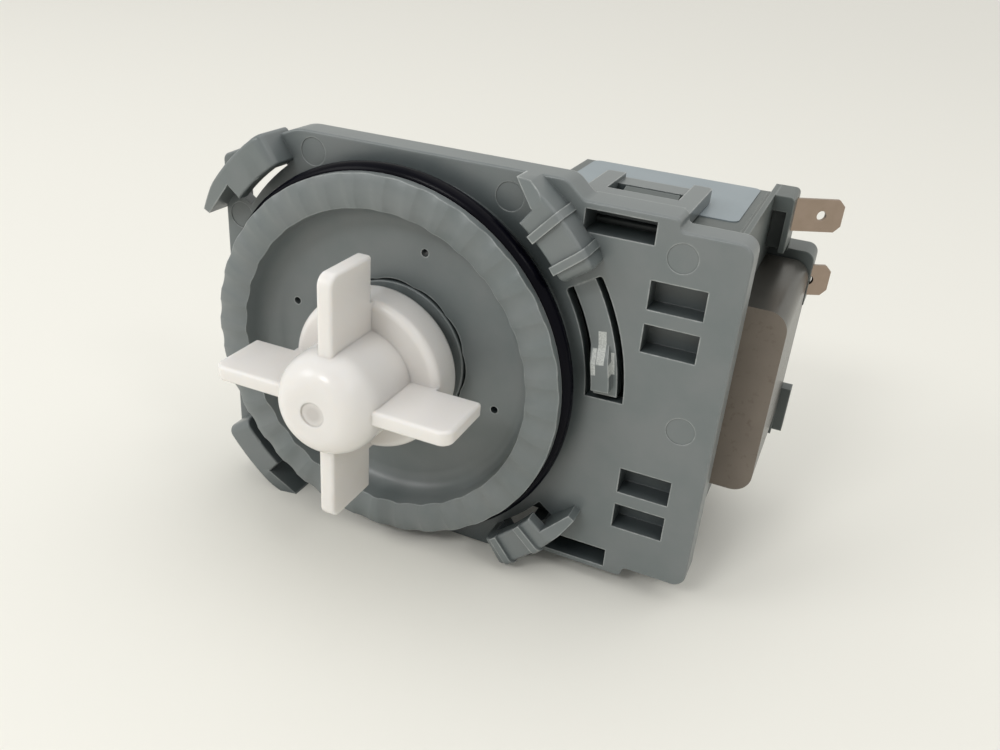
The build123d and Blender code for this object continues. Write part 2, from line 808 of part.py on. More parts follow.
def impeller():
    """Bell, hub with its cavity, four straight blades and the stop in the cavity."""
    dome_centre = (hub_radius - hub_dome_width, hub_front + hub_dome_length)
    dome = EllipticalCenterArc(dome_centre, hub_dome_width, hub_dome_length, start_angle=270, arc_size=90)
    dome_start = (hub_radius - hub_dome_width, hub_front)
    side = Polyline(
        (hub_radius, hub_front + hub_dome_length),
        (hub_radius, bell_front),
        (bell_radius, bell_front),
        (bell_radius, bell_rear),
        (bell_radius - bell_wall, bell_rear),
        (bell_radius - bell_wall, hub_cavity_rear),
        (hub_cavity_radius, hub_cavity_rear),
        (hub_cavity_radius, hub_cavity_front),
        (shaft_radius + running_gap, hub_cavity_front),
        (shaft_radius + running_gap, hub_cavity_front - pilot_length),
        (0, hub_cavity_front - pilot_length),
        (0, hub_front),
        dome_start,
    )
    body = revolve(make_face([dome, side]), Axis.Y)
    bell_edge = body.edges().filter_by(GeomType.CIRCLE).sort_by_distance((bell_radius, bell_front, 0))[0]
    body = fillet(bell_edge, bell_round)
    body -= ring(0, hub_gate_radius, hub_front, hub_front + hub_gate_depth)

    blade_front = bell_front - blade_length
    outline = Polyline(
        (hub_cavity_radius + sink, blade_front),
        (impeller_radius, blade_front),
        (impeller_radius, bell_front),
        (bell_radius - bell_cover, bell_front),
        (bell_radius - bell_cover, bell_front + bell_round),
        (bell_radius - bell_round, bell_front + bell_wall),
        (hub_cavity_radius + sink, bell_front + bell_wall),
        close=True,
    )
    blade = extrude(make_face(outline), blade_thickness / 2, both=True)
    tip = blade.edges().filter_by(Axis.Z).sort_by_distance((impeller_radius, blade_front, 0))[0]
    blade = fillet(tip, blade_tip_round)
    outer_edges = blade.edges().filter_by(lambda edge: edge.center().X > bell_radius)
    blade = fillet(outer_edges, blade_edge_round)
    body += [turn(i * 360 / blade_count, blade) for i in range(blade_count)]
    stop_inner = shaft_radius + dog_wall + dog_side_gap + shoe_wall
    stop = stop_outline(0, stop_inner, hub_cavity_radius + sink)
    return body + slab(stop, hub_cavity_front - sink, hub_cap_front - press_gap)


def hub_cap():
    """Plate that closes the hub behind the dog."""
    return ring(shaft_radius + running_gap, hub_cavity_radius - press_gap, hub_cap_front, hub_cavity_rear)


def stator_yoke():
    """U-shaped iron stack: two legs with the pole arcs, and the bar that closes them."""
    left = -pole_radius - pole_overhang
    body = box((left, yoke_right), (stack_front, stack_rear), (-leg_outer, leg_outer))
    outer_corners = body.edges().filter_by(Axis.Y).group_by(Axis.X)[-1]
    body = fillet(outer_corners, yoke_corner_round)
    body -= box((left, yoke_bar_left), (stack_front, stack_rear), (-leg_inner, leg_inner))
    return body - ring(0, pole_radius, stack_front, stack_rear)


def housing_section(inset):
    """Section of the coil housing, drawn inside its outer face by an inset."""
    upper = [
        (housing_front, housing_half_height),
        (housing_rear - housing_slope_run, housing_half_height),
        (housing_rear, housing_half_height - housing_slope_drop),
    ]
    lower = [(depth, -height) for depth, height in reversed(upper)]
    section = make_face(Polyline(*upper, *lower, close=True))
    return offset(section, -inset, kind=Kind.INTERSECTION) if inset > 0 else section


def nub():
    """Ramped nub on the housing that the snap loop holds."""
    section = make_face(
        Polyline(
            (nub_front, housing_half_height - sink),
            (nub_front, housing_half_height),
            (nub_rear, housing_half_height + nub_rise),
            (nub_rear, housing_half_height - sink),
            close=True,
        )
    )
    return bar(section, nub_left, nub_right)


def coil_housing():
    """Dark sleeve over both coils, with a nub above and below."""
    body = bar(housing_section(0), housing_left, housing_right)
    body = fillet(body.edges().filter_by(Axis.X), housing_edge_round)
    body -= bar(housing_section(housing_wall), housing_left, housing_right)
    return body + both_sides(nub())


def leg_window(grow):
    """Outline of one leg of the yoke, drawn as a section and grown on all sides."""
    middle = ((stack_front + stack_rear) / 2, (leg_inner + leg_outer) / 2)
    return Pos(*middle) * Rectangle(stack_length + 2 * grow, leg_width + 2 * grow)


def bobbin():
    """Coil former round the upper leg, with the head outside the housing."""
    middle = ((housing_front + housing_rear) / 2, housing_half_height / 2 + bobbin_split)
    above = Pos(*middle) * Rectangle(housing_rear - housing_front, housing_half_height)
    body = bar(leg_window(leg_gap + bobbin_wall), bobbin_left, bobbin_right)
    body += bar(housing_section(housing_wall + seat_gap) & above, bobbin_left, bobbin_left + bobbin_flange)
    body += bar(housing_section(0) & above, housing_right, bobbin_right)
    body += box(
        (bobbin_right - bobbin_ridge_width, bobbin_right),
        (housing_front + bobbin_ridge_inset, stack_rear),
        (housing_half_height - 2 * housing_wall, block_top),
    )
    return body - bar(leg_window(leg_gap), bobbin_left, bobbin_right)


def upper_bobbin():
    """Upper coil former, with the holes that the two leads pass."""
    holes = [lead_hole(depth, height, housing_right, bobbin_right) for depth, height, _ in lead_runs()]
    return bobbin() - holes


def lower_bobbin():
    """Lower coil former."""
    return mirror(bobbin(), Plane.XY)


def upper_coil():
    """Winding on the upper bobbin."""
    outline = offset(leg_window(leg_gap + bobbin_wall + press_gap), coil_build - press_gap, kind=Kind.ARC)
    outline -= leg_window(leg_gap + bobbin_wall + press_gap)
    return bar(outline, coil_left, coil_right)


def lower_coil():
    """Winding on the lower bobbin."""
    return mirror(upper_coil(), Plane.XY)


def rating_label():
    """Bare label on top of the housing, cut out round the nub."""
    left = housing_left + label_left_margin
    right = housing_right - label_right_margin
    rear = housing_rear - housing_slope_run - seat_gap
    base = (housing_half_height, housing_half_height + label_thickness)
    body = box((left, right), (label_front, rear), base)
    body = fillet(body.edges().filter_by(Axis.Z), label_corner_round)
    notch = (nub_left - label_nub_side_gap, nub_right + label_nub_side_gap)
    return body - box(notch, (label_front, nub_rear + label_nub_rear_gap), base)


def terminal_exits():
    """Where each blade leaves its block: X, depth, height and the length that shows."""
    return [
        (block_right, upper_terminal_exit, upper_terminal_height, upper_terminal_shown),
        (lower_block_right, lower_terminal_exit, lower_terminal_height, lower_terminal_shown),
    ]


def blade_terminal(exit_x, exit_depth, height, shown, grow=0.0):
    """Flat blade with a holed, chamfered end, turned out to the rear."""
    body = box(
        (-terminal_hidden - grow, shown),
        (-blade_terminal_thickness / 2 - grow, blade_terminal_thickness / 2 + grow),
        (-blade_terminal_width / 2 - grow, blade_terminal_width / 2 + grow),
    )
    if grow == 0:
        body = chamfer(body.edges().filter_by(Axis.Y).group_by(Axis.X)[-1], blade_terminal_chamfer)
        hole = Rot(90, 0, 0) * Cylinder(blade_terminal_hole_radius, 2 * blade_terminal_thickness)
        body -= Pos(shown - blade_terminal_hole_from_tip, 0, 0) * hole
    return Pos(exit_x, exit_depth, height) * Rot(0, 0, blade_terminal_turn) * body


def terminal_block():
    """Moulding beside the housing that holds both blades."""
    x = (bobbin_right, block_right)
    body = box(x, (block_front, block_rear), (block_bottom, block_top))
    outer_edge = body.edges().filter_by(Axis.Y).group_by(Axis.Z)[-1].sort_by(Axis.X)[-1]
    body = fillet(outer_edge, block_corner_round)
    recess_x = (bobbin_right, block_right - block_side_lip)
    recess_depth = (block_front, block_front + block_recess_depth)
    body -= box(recess_x, recess_depth, (block_bottom, block_top - block_top_lip))
    web_top = block_top - block_top_lip
    body += box(x, (block_rear, block_rear + block_web), (lower_block_top - sink, web_top))
    lower = box(
        (bobbin_right, lower_block_right),
        (lower_block_front, lower_block_front + lower_block_length),
        (lower_block_bottom, lower_block_top),
    )
    corner = (lower_block_right, lower_block_front, lower_block_top)
    corner_edge = lower.edges().filter_by(Axis.Y).sort_by_distance(corner)[0]
    body += fillet(corner_edge, lower_block_round)
    for exit_place in terminal_exits():
        body -= blade_terminal(*exit_place, grow=press_gap)
    return body - [lead_hole(depth, height, bobbin_right, end) for depth, height, end in lead_runs()]


def lead_runs():
    """Depth and height of each lead behind its blade, and the place along X where it ends."""
    along, across = polar(terminal_hidden, blade_terminal_turn)
    return [(depth - across, height, x - along - lead_radius) for x, depth, height, _ in terminal_exits()]


def lead_hole(depth, height, left, right):
    """Hole for a lead along X."""
    return bar(Pos(depth, height) * Circle(lead_radius + lead_hole_gap), left, right)


def winding_leads():
    """Lead from the protector to the upper blade, lead to the lower blade, and the coil link."""
    (upper_depth, upper_height, upper_end), (lower_depth, lower_height, lower_end) = lead_runs()
    start_depth = protector_front + protector_width / 2
    start_height = coil_outer + protector_height / 2
    path = FilletPolyline(
        (protector_left + protector_length, start_depth, start_height),
        (protector_left + protector_length + lead_bend, start_depth, start_height),
        (lead_knee, upper_depth, upper_height),
        (upper_end, upper_depth, upper_height),
        radius=lead_bend / 2,
    )
    start = Plane(path @ 0, z_dir=path % 0)
    upper = sweep(start * Circle(lead_radius), path=path)
    lower = bar(Pos(lower_depth, lower_height) * Circle(lead_radius), coil_right, lower_end)
    link_place = Pos(coil_left + coil_link_from_left, (bobbin_tube_rear + coil_rear) / 2, 0)
    link = link_place * Cylinder(lead_radius, 2 * coil_inner)
    return Compound([*upper.solids(), *lower.solids(), *link.solids()])


def thermal_protector():
    """Small cut-out that lies on the upper coil."""
    body = box(
        (protector_left, protector_left + protector_length),
        (protector_front, protector_front + protector_width),
        (coil_outer, coil_outer + protector_height),
    )
    return fillet(body.edges().filter_by(Axis.X), protector_edge_round)


def core_retainer():
    """Strap behind the bar of the yoke, with a lug past its right face."""
    body = box(
        (yoke_bar_left, yoke_right),
        (stack_rear, stack_rear + strap_thickness),
        (strap_bottom, lower_block_bottom - strap_block_gap),
    )
    lug = box(
        (yoke_right - sink, yoke_right + lug_width),
        (stack_rear + lug_front_gap, stack_rear + lug_front_gap + lug_length),
        (lug_bottom, lug_top),
    )
    return body + lug


nodes = {
    "mounting_flange": mounting_flange,
    "latch_finger": latch_finger,
    "seal_ring": seal_ring,
    "front_cover": front_cover,
    "front_bearing": lambda: bearing(cover_rear),
    "front_grommet": lambda: grommet(cover_rear),
    "rear_bearing": lambda: bearing(rear_bearing_front),
    "rear_grommet": lambda: grommet(rear_bearing_front),
    "rotor_shaft": rotor_shaft,
    "rotor_magnet": rotor_magnet,
    "magnet_sleeve": magnet_sleeve,
    "front_thrust_washer": lambda: thrust_washer(sleeve_front - washer_length),
    "rear_thrust_washer": lambda: thrust_washer(sleeve_rear),
    "drive_dog": drive_dog,
    "coupling_damper": coupling_damper,
    "impeller": impeller,
    "hub_cap": hub_cap,
    "stator_yoke": stator_yoke,
    "upper_bobbin": upper_bobbin,
    "lower_bobbin": lower_bobbin,
    "upper_coil": upper_coil,
    "lower_coil": lower_coil,
    "coil_housing": coil_housing,
    "rating_label": rating_label,
    "terminal_block": terminal_block,
    "upper_terminal": lambda: blade_terminal(*terminal_exits()[0]),
    "lower_terminal": lambda: blade_terminal(*terminal_exits()[1]),
    "thermal_protector": thermal_protector,
    "winding_leads": winding_leads,
    "core_retainer": core_retainer,
}

os.makedirs("parts", exist_ok=True)
for name, make in nodes.items():
    export_step(make(), f"parts/{name}.step")
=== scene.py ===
import json
import math

import bpy
from mathutils import Matrix, Vector

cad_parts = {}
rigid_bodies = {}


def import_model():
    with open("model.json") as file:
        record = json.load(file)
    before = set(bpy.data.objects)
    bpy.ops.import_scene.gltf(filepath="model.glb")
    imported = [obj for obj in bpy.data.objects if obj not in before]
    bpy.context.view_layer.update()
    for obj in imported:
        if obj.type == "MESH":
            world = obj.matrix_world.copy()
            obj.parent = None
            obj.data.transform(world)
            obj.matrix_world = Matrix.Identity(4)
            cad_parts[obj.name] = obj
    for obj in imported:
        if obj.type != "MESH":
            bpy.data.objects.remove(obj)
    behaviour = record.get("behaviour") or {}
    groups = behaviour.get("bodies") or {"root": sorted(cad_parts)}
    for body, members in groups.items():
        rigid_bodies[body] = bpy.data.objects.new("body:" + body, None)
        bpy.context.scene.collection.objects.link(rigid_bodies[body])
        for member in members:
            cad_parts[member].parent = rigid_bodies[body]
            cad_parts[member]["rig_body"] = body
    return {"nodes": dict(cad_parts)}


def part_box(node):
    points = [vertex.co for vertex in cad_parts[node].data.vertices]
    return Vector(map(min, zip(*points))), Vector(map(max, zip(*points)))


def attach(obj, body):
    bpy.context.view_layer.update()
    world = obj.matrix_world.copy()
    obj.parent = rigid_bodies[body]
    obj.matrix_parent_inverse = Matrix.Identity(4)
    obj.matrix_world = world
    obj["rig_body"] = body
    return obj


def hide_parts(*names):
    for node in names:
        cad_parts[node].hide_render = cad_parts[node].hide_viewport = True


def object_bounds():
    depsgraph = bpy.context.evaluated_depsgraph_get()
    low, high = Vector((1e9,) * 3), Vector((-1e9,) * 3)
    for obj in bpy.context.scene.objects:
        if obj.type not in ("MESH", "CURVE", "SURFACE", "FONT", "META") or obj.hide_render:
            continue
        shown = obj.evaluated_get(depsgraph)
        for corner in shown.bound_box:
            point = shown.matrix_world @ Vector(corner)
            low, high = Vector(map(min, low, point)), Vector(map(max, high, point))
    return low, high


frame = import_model()
cad_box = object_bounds()
scene = bpy.context.scene
scene.view_settings.view_transform = "Standard"


# Camera
# The camera stands in front of the pump, to its right and above it, at the photograph's angle.
# Its three axes are the directions right, up and back of the picture, measured from the plate and the hooks.
camera_right = Vector((0.91240156, 0.40245752, 0.07450728))
camera_up = Vector((-0.246846, 0.39586879, 0.88450831))
camera_back = Vector((0.32648192, -0.82541859, 0.46053633))
camera_place = Vector((0.074146, -0.134807, 0.075555))

camera = bpy.data.objects.new("photo_camera", bpy.data.cameras.new("photo_camera"))
scene.collection.objects.link(camera)
turned = Matrix((camera_right, camera_up, camera_back)).transposed()
camera.matrix_world = Matrix.Translation(camera_place) @ turned.to_4x4()
camera.data.sensor_fit = "HORIZONTAL"
camera.data.sensor_width = 36
camera.data.lens = 32.44
camera.data.clip_start = 0.005
scene.camera = camera


# Mounting flange, front cover and latch finger
# The pump's body: a plate with its cup, hooks, loops and rotor can, moulded in one piece, the round cover
# that closes the can and the sprung finger in the plate. All are grey polypropylene filled with talc and
# glass, injection moulded and left as they come from the mould.
def linear(colour):
    """Turn an sRGB hex value into a linear colour."""
    parts = [int(colour[i:i + 2], 16) / 255 for i in (1, 3, 5)]
    parts = [c / 12.92 if c <= 0.04045 else ((c + 0.055) / 1.055) ** 2.4 for c in parts]
    return (*parts, 1)


def per_mm(size):
    """Scale of a pattern whose features are this many millimetres across."""
    return 1000 / size


def new_material(name):
    """Start an empty material and return it with its node tree."""
    made = bpy.data.materials.new(name)
    made.use_nodes = True
    made.node_tree.nodes.clear()
    return made, made.node_tree


def add(tree, kind, settings=None, links=None):
    """Add a node, give it its settings and feed its sockets."""
    node = tree.nodes.new(kind)
    for name, value in (settings or {}).items():
        if isinstance(name, int) or name in node.inputs:
            node.inputs[name].default_value = value
        else:
            setattr(node, name, value)
    for name, source in (links or {}).items():
        tree.links.new(source, node.inputs[name])
    return node


merge_distance = 0.000002
smooth_below = math.radians(35)


def dress(node, material):
    """Stand a merged, smooth shaded copy with this material in a CAD piece's place."""
    source = frame["nodes"][node]
    bpy.ops.object.select_all(action="DESELECT")
    piece = bpy.data.objects.new(node + "_finished", source.data.copy())
    scene.collection.objects.link(piece)
    piece.select_set(True)
    bpy.context.view_layer.objects.active = piece
    bpy.ops.object.mode_set(mode="EDIT")
    bpy.ops.mesh.select_all(action="SELECT")
    bpy.ops.mesh.remove_doubles(threshold=merge_distance)
    bpy.ops.object.mode_set(mode="OBJECT")
    bpy.ops.mesh.customdata_custom_splitnormals_clear()
    bpy.ops.object.shade_smooth_by_angle(angle=smooth_below)
    piece.data.materials.clear()
    piece.data.materials.append(material)
    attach(piece, source["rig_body"])
    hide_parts(node)
    return piece


# Filled polypropylene, moulded: an even cool grey with a low sheen and a faint cloudy flow. Its sharp
# edges are painted paler, partly as wear from handling and partly as painted highlight, and they catch the
# light as thin lines. Its corners and recesses are darkened with painted shade. Its fine grain is drawn
# 0.25 mm across, coarser than it is, so that it shows.
edge_reach = 0.0003
painted_shade_reach = 0.009
grey_plastic, tree = new_material("filled_polypropylene_moulded_grey")
place = add(tree, "ShaderNodeTexCoord").outputs["Object"]
cloud = add(
    tree,
    "ShaderNodeTexNoise",
    {"Scale": per_mm(9), "Detail": 3, "Roughness": 0.55},
    {"Vector": place},
)
grain = add(tree, "ShaderNodeTexNoise", {"Scale": per_mm(0.25), "Detail": 2}, {"Vector": place})
rubs = add(tree, "ShaderNodeTexNoise", {"Scale": per_mm(1.5), "Detail": 2}, {"Vector": place})
cloudy = add(
    tree, "ShaderNodeMapRange", {"From Min": 0.35, "From Max": 0.65}, {"Value": cloud.outputs["Fac"]}
)
base = add(
    tree,
    "ShaderNodeMixRGB",
    {"Color1": linear("#6b7272"), "Color2": linear("#727777")},
    {"Fac": cloudy.outputs["Result"]},
)
depth = add(
    tree,
    "ShaderNodeAmbientOcclusion",
    {"inside": True, "only_local": True, "samples": 6, "Distance": edge_reach},
)
# Painted highlight and wear: sharp edges, found by occlusion inside the surface, are mixed toward a pale grey
# in rubbed patches.
edge = add(
    tree,
    "ShaderNodeMapRange",
    {"From Min": 0.92, "From Max": 0.58, "To Max": 0.9},
    {"Value": depth.outputs["AO"]},
)
rubbed_and_highlit = add(
    tree,
    "ShaderNodeMapRange",
    {"From Min": 0.35, "From Max": 0.6, "To Min": 0.35, "To Max": 0.8},
    {"Value": rubs.outputs["Fac"]},
)
edge_wear_and_highlight = add(
    tree,
    "ShaderNodeMath",
    {"operation": "MULTIPLY"},
    {0: edge.outputs["Result"], 1: rubbed_and_highlit.outputs["Result"]},
)
worn_and_highlit_base = add(
    tree,
    "ShaderNodeMixRGB",
    {"Color2": linear("#c2c6c3")},
    {"Fac": edge_wear_and_highlight.outputs["Value"], "Color1": base.outputs["Color"]},
)
# Painted shade: corners and recesses, found by occlusion within 9 mm, are mixed toward a dark teal grey.
shelter = add(tree, "ShaderNodeAmbientOcclusion", {"samples": 6, "Distance": painted_shade_reach})
painted_recess_shade = add(
    tree,
    "ShaderNodeMapRange",
    {"From Min": 0.75, "From Max": 0.2, "To Max": 0.85},
    {"Value": shelter.outputs["AO"]},
)
painted_shade_base = add(
    tree,
    "ShaderNodeMixRGB",
    {"Color2": linear("#2b3436")},
    {"Fac": painted_recess_shade.outputs["Result"], "Color1": worn_and_highlit_base.outputs["Color"]},
)
sheen = add(
    tree,
    "ShaderNodeMapRange",
    {"From Min": 0.3, "From Max": 0.7, "To Min": 0.29, "To Max": 0.38},
    {"Value": cloud.outputs["Fac"]},
)
eased = add(tree, "ShaderNodeBevel", {"samples": 6, "Radius": 0.00022})
bump = add(
    tree,
    "ShaderNodeBump",
    {"Strength": 0.12, "Distance": 0.00003},
    {"Height": grain.outputs["Fac"], "Normal": eased.outputs["Normal"]},
)
shader = add(
    tree,
    "ShaderNodeBsdfPrincipled",
    {"IOR": 1.49, "Specular IOR Level": 0.6},
    {
        "Base Color": painted_shade_base.outputs["Color"],
        "Roughness": sheen.outputs["Result"],
        "Normal": bump.outputs["Normal"],
    },
)
add(tree, "ShaderNodeOutputMaterial", links={"Surface": shader.outputs["BSDF"]})

for node in ("mounting_flange", "front_cover"):
    dress(node, grey_plastic)

# The same plastic on the finger, with three strips near its tip that are scraped pale and finely scratched.
# Each strip is a place across and a place up on the finger's face, in millimetres, with its two half sizes.
finger_lean = 0.1344
scrape_strips = (
    (38.9, 3.0, 0.4, 2.25),
    (40.1, 5.5, 0.7, 2.75),
    (41.9, 2.6, 0.3, 2.0),
)
scraped_plastic = grey_plastic.copy()
scraped_plastic.name = "filled_polypropylene_scraped"
tree = scraped_plastic.node_tree
shader = next(node for node in tree.nodes if node.type == "BSDF_PRINCIPLED")
under = shader.inputs["Base Color"].links[0].from_socket
place = add(tree, "ShaderNodeTexCoord").outputs["Object"]
leaning = add(
    tree,
    "ShaderNodeMapping",
    {"Scale": (1000, 1000, 1000), "Rotation": (0, finger_lean, 0)},
    {"Vector": place},
)
apart = add(tree, "ShaderNodeSeparateXYZ", links={"Vector": leaning.outputs["Vector"]})
scrapes = None
for across, up, half_width, half_height in scrape_strips:
    aside = add(
        tree,
        "ShaderNodeMath",
        {"operation": "COMPARE", 1: across, 2: half_width},
        {0: apart.outputs["X"]},
    )
    along = add(
        tree,
        "ShaderNodeMath",
        {"operation": "COMPARE", 1: up, 2: half_height},
        {0: apart.outputs["Z"]},
    )
    strip = add(
        tree,
        "ShaderNodeMath",
        {"operation": "MULTIPLY"},
        {0: aside.outputs["Value"], 1: along.outputs["Value"]},
    )
    if scrapes is None:
        scrapes = strip
    else:
        scrapes = add(
            tree,
            "ShaderNodeMath",
            {"operation": "MAXIMUM"},
            {0: scrapes.outputs["Value"], 1: strip.outputs["Value"]},
        )
scratches = add(tree, "ShaderNodeTexNoise", {"Scale": per_mm(0.25), "Detail": 2}, {"Vector": place})
whitened = add(
    tree,
    "ShaderNodeMapRange",
    {"From Min": 0.4, "From Max": 0.55, "To Min": 0.6, "To Max": 1},
    {"Value": scratches.outputs["Fac"]},
)
pale = add(
    tree,
    "ShaderNodeMath",
    {"operation": "MULTIPLY"},
    {0: scrapes.outputs["Value"], 1: whitened.outputs["Result"]},
)
top = add(
    tree, "ShaderNodeMixRGB", {"Color2": linear("#c3c6c2")}, {"Fac": pale.outputs["Value"], "Color1": under}
)
tree.links.new(top.outputs["Color"], shader.inputs["Base Color"])

# The finger is one moulding with the plate: its root is drawn out to the end of its opening, where it bends.
finger = dress("latch_finger", scraped_plastic)
root_angle = math.radians(32)
root_zone = math.radians(31)
for vertex in finger.data.vertices:
    radius = math.hypot(vertex.co.x, vertex.co.z)
    if math.atan2(vertex.co.z, vertex.co.x) > root_zone:
        vertex.co.x = radius * math.cos(root_angle)
        vertex.co.z = radius * math.sin(root_angle)


# Seal ring, bearing rubbers and damper
# The ring that seals the cup in its socket, the two rings that carry the bearings, and the shoe that the dog
# runs against. All are nitrile rubber, moulded, and the seal is stretched into its groove.

# Nitrile rubber, moulded: black with a cast of blue, smooth, with a faint bloom that dulls it in patches. Its
# fine grain is drawn 0.2 mm across, coarser than it is.
rubber, tree = new_material("nitrile_rubber_moulded_black")
place = add(tree, "ShaderNodeTexCoord").outputs["Object"]
bloom = add(tree, "ShaderNodeTexNoise", {"Scale": per_mm(4), "Detail": 3}, {"Vector": place})
grain = add(tree, "ShaderNodeTexNoise", {"Scale": per_mm(0.2), "Detail": 2}, {"Vector": place})
dulled = add(
    tree,
    "ShaderNodeMapRange",
    {"From Min": 0.3, "From Max": 0.7, "To Min": 0.18, "To Max": 0.26},
    {"Value": bloom.outputs["Fac"]},
)
tone = add(
    tree,
    "ShaderNodeMixRGB",
    {"Color1": linear("#05050b"), "Color2": linear("#0c0c14")},
    {"Fac": bloom.outputs["Fac"]},
)
bump = add(
    tree, "ShaderNodeBump", {"Strength": 0.1, "Distance": 0.00002}, {"Height": grain.outputs["Fac"]}
)
shader = add(
    tree,
    "ShaderNodeBsdfPrincipled",
    {"IOR": 1.52, "Specular IOR Level": 0.06},
    {
        "Base Color": tone.outputs["Color"],
        "Roughness": dulled.outputs["Result"],
        "Normal": bump.outputs["Normal"],
    },
)
add(tree, "ShaderNodeOutputMaterial", links={"Surface": shader.outputs["BSDF"]})

for node in ("seal_ring", "front_grommet", "rear_grommet", "coupling_damper"):
    dress(node, rubber)


# Impeller and hub cap
# The white impeller with its bell, hub and four straight blades, and the plate that closes the hub. Both are
# natural polypropylene, injection moulded.

# Natural polypropylene, moulded: milky and waxy, with soft edges. Deep between the blades and in other
# sheltered places it is darkened with painted shade. It lets some light in, so it looks darker at the thin
# gate in the middle of the hub. Its grain is drawn coarser than it is.
gate_radius = 0.0024
gate_middle_radius = 0.001
white_plastic, tree = new_material("natural_polypropylene_moulded_milky")
place = add(tree, "ShaderNodeTexCoord").outputs["Object"]
cloud = add(tree, "ShaderNodeTexNoise", {"Scale": per_mm(7), "Detail": 3}, {"Vector": place})
grain = add(tree, "ShaderNodeTexNoise", {"Scale": per_mm(0.4), "Detail": 2}, {"Vector": place})
tone = add(
    tree,
    "ShaderNodeMixRGB",
    {"Color1": linear("#e6e3df"), "Color2": linear("#eae7e3")},
    {"Fac": cloud.outputs["Fac"]},
)
waxy = add(
    tree,
    "ShaderNodeMapRange",
    {"From Min": 0.3, "From Max": 0.7, "To Min": 0.2, "To Max": 0.26},
    {"Value": cloud.outputs["Fac"]},
)
# Painted shade: places sheltered within 12 mm, deep between the blades and round the bell, are mixed toward a
# darker warm grey.
shelter = add(tree, "ShaderNodeAmbientOcclusion", {"samples": 6, "Distance": 0.012})
painted_shade_amount = add(
    tree,
    "ShaderNodeMapRange",
    {"From Min": 0.8, "From Max": 0.2, "To Max": 0.5},
    {"Value": shelter.outputs["AO"]},
)
painted_shade_tone = add(
    tree,
    "ShaderNodeMixRGB",
    {"Color2": linear("#a29c95")},
    {"Fac": painted_shade_amount.outputs["Result"], "Color1": tone.outputs["Color"]},
)
from_axis = add(tree, "ShaderNodeVectorMath", {"operation": "MULTIPLY", 1: (1, 0, 1)}, {0: place})
from_axis = add(tree, "ShaderNodeVectorMath", {"operation": "LENGTH"}, {0: from_axis.outputs["Vector"]})
gate = add(
    tree,
    "ShaderNodeMapRange",
    {"From Min": gate_radius, "From Max": gate_middle_radius, "To Max": 0.7},
    {"Value": from_axis.outputs["Value"]},
)
thin_gate = add(
    tree,
    "ShaderNodeMixRGB",
    {"Color2": linear("#bcb7b2")},
    {"Fac": gate.outputs["Result"], "Color1": painted_shade_tone.outputs["Color"]},
)
eased = add(tree, "ShaderNodeBevel", {"samples": 6, "Radius": 0.0005})
bump = add(
    tree,
    "ShaderNodeBump",
    {"Strength": 0.08, "Distance": 0.00003},
    {"Height": grain.outputs["Fac"], "Normal": eased.outputs["Normal"]},
)
shader = add(
    tree,
    "ShaderNodeBsdfPrincipled",
    {
        "IOR": 1.49,
        "Subsurface Weight": 0.6,
        "Subsurface Scale": 0.002,
        "Subsurface Radius": (1.0, 0.92, 0.82),
    },
    {
        "Base Color": thin_gate.outputs["Color"],
        "Roughness": waxy.outputs["Result"],
        "Normal": bump.outputs["Normal"],
    },
)
add(tree, "ShaderNodeOutputMaterial", links={"Surface": shader.outputs["BSDF"]})

for node in ("impeller", "hub_cap"):
    dress(node, white_plastic)


# Shaft
# The rotor's shaft, which runs in both bearings and carries the magnet and the dog. It is stainless steel
# rod, ground to size and polished.

# Stainless steel, ground: bright, with fine marks round the rod that smear its reflections. They are drawn
# 0.1 mm apart along it, coarser than they are.
ground_steel, tree = new_material("stainless_steel_ground")
place = add(tree, "ShaderNodeTexCoord").outputs["Object"]
marks = add(tree, "ShaderNodeMapping", {"Scale": (1, 40, 1)}, {"Vector": place})
fine = add(tree, "ShaderNodeTexNoise", {"Scale": per_mm(4), "Detail": 3}, {"Vector": marks.outputs["Vector"]})
gloss = add(
    tree, "ShaderNodeMapRange", {"To Min": 0.12, "To Max": 0.26}, {"Value": fine.outputs["Fac"]}
)
shader = add(
    tree,
    "ShaderNodeBsdfPrincipled",
    {"Base Color": linear("#c4c3bf"), "Metallic": 1},
    {"Roughness": gloss.outputs["Result"]},
)
add(tree, "ShaderNodeOutputMaterial", links={"Surface": shader.outputs["BSDF"]})
dress("rotor_shaft", ground_steel)


# Magnet
# The rotor's magnet, a ring with two poles that the stator turns. It is hard ferrite, sintered and ground on
# its outside.

# Hard ferrite, ground: dark grey and dull, with faint specks. The specks are drawn 0.4 mm across, far coarser
# than its crystals.
ferrite, tree = new_material("hard_ferrite_ground")
place = add(tree, "ShaderNodeTexCoord").outputs["Object"]
crystals = add(tree, "ShaderNodeTexNoise", {"Scale": per_mm(0.4), "Detail": 3}, {"Vector": place})
tone = add(
    tree,
    "ShaderNodeMixRGB",
    {"Color1": linear("#2c2b2b"), "Color2": linear("#3d3b3a")},
    {"Fac": crystals.outputs["Fac"]},
)
bump = add(
    tree, "ShaderNodeBump", {"Strength": 0.3, "Distance": 0.00002}, {"Height": crystals.outputs["Fac"]}
)
shader = add(
    tree,
    "ShaderNodeBsdfPrincipled",
    {"Roughness": 0.45},
    {"Base Color": tone.outputs["Color"], "Normal": bump.outputs["Normal"]},
)
add(tree, "ShaderNodeOutputMaterial", links={"Surface": shader.outputs["BSDF"]})
dress("rotor_magnet", ferrite)


# Magnet sleeve, thrust washers and drive dog
# The body that is moulded between shaft and magnet, the two washers that run on the bearings, and the dog
# that drives the hub. All are acetal, moulded off-white.

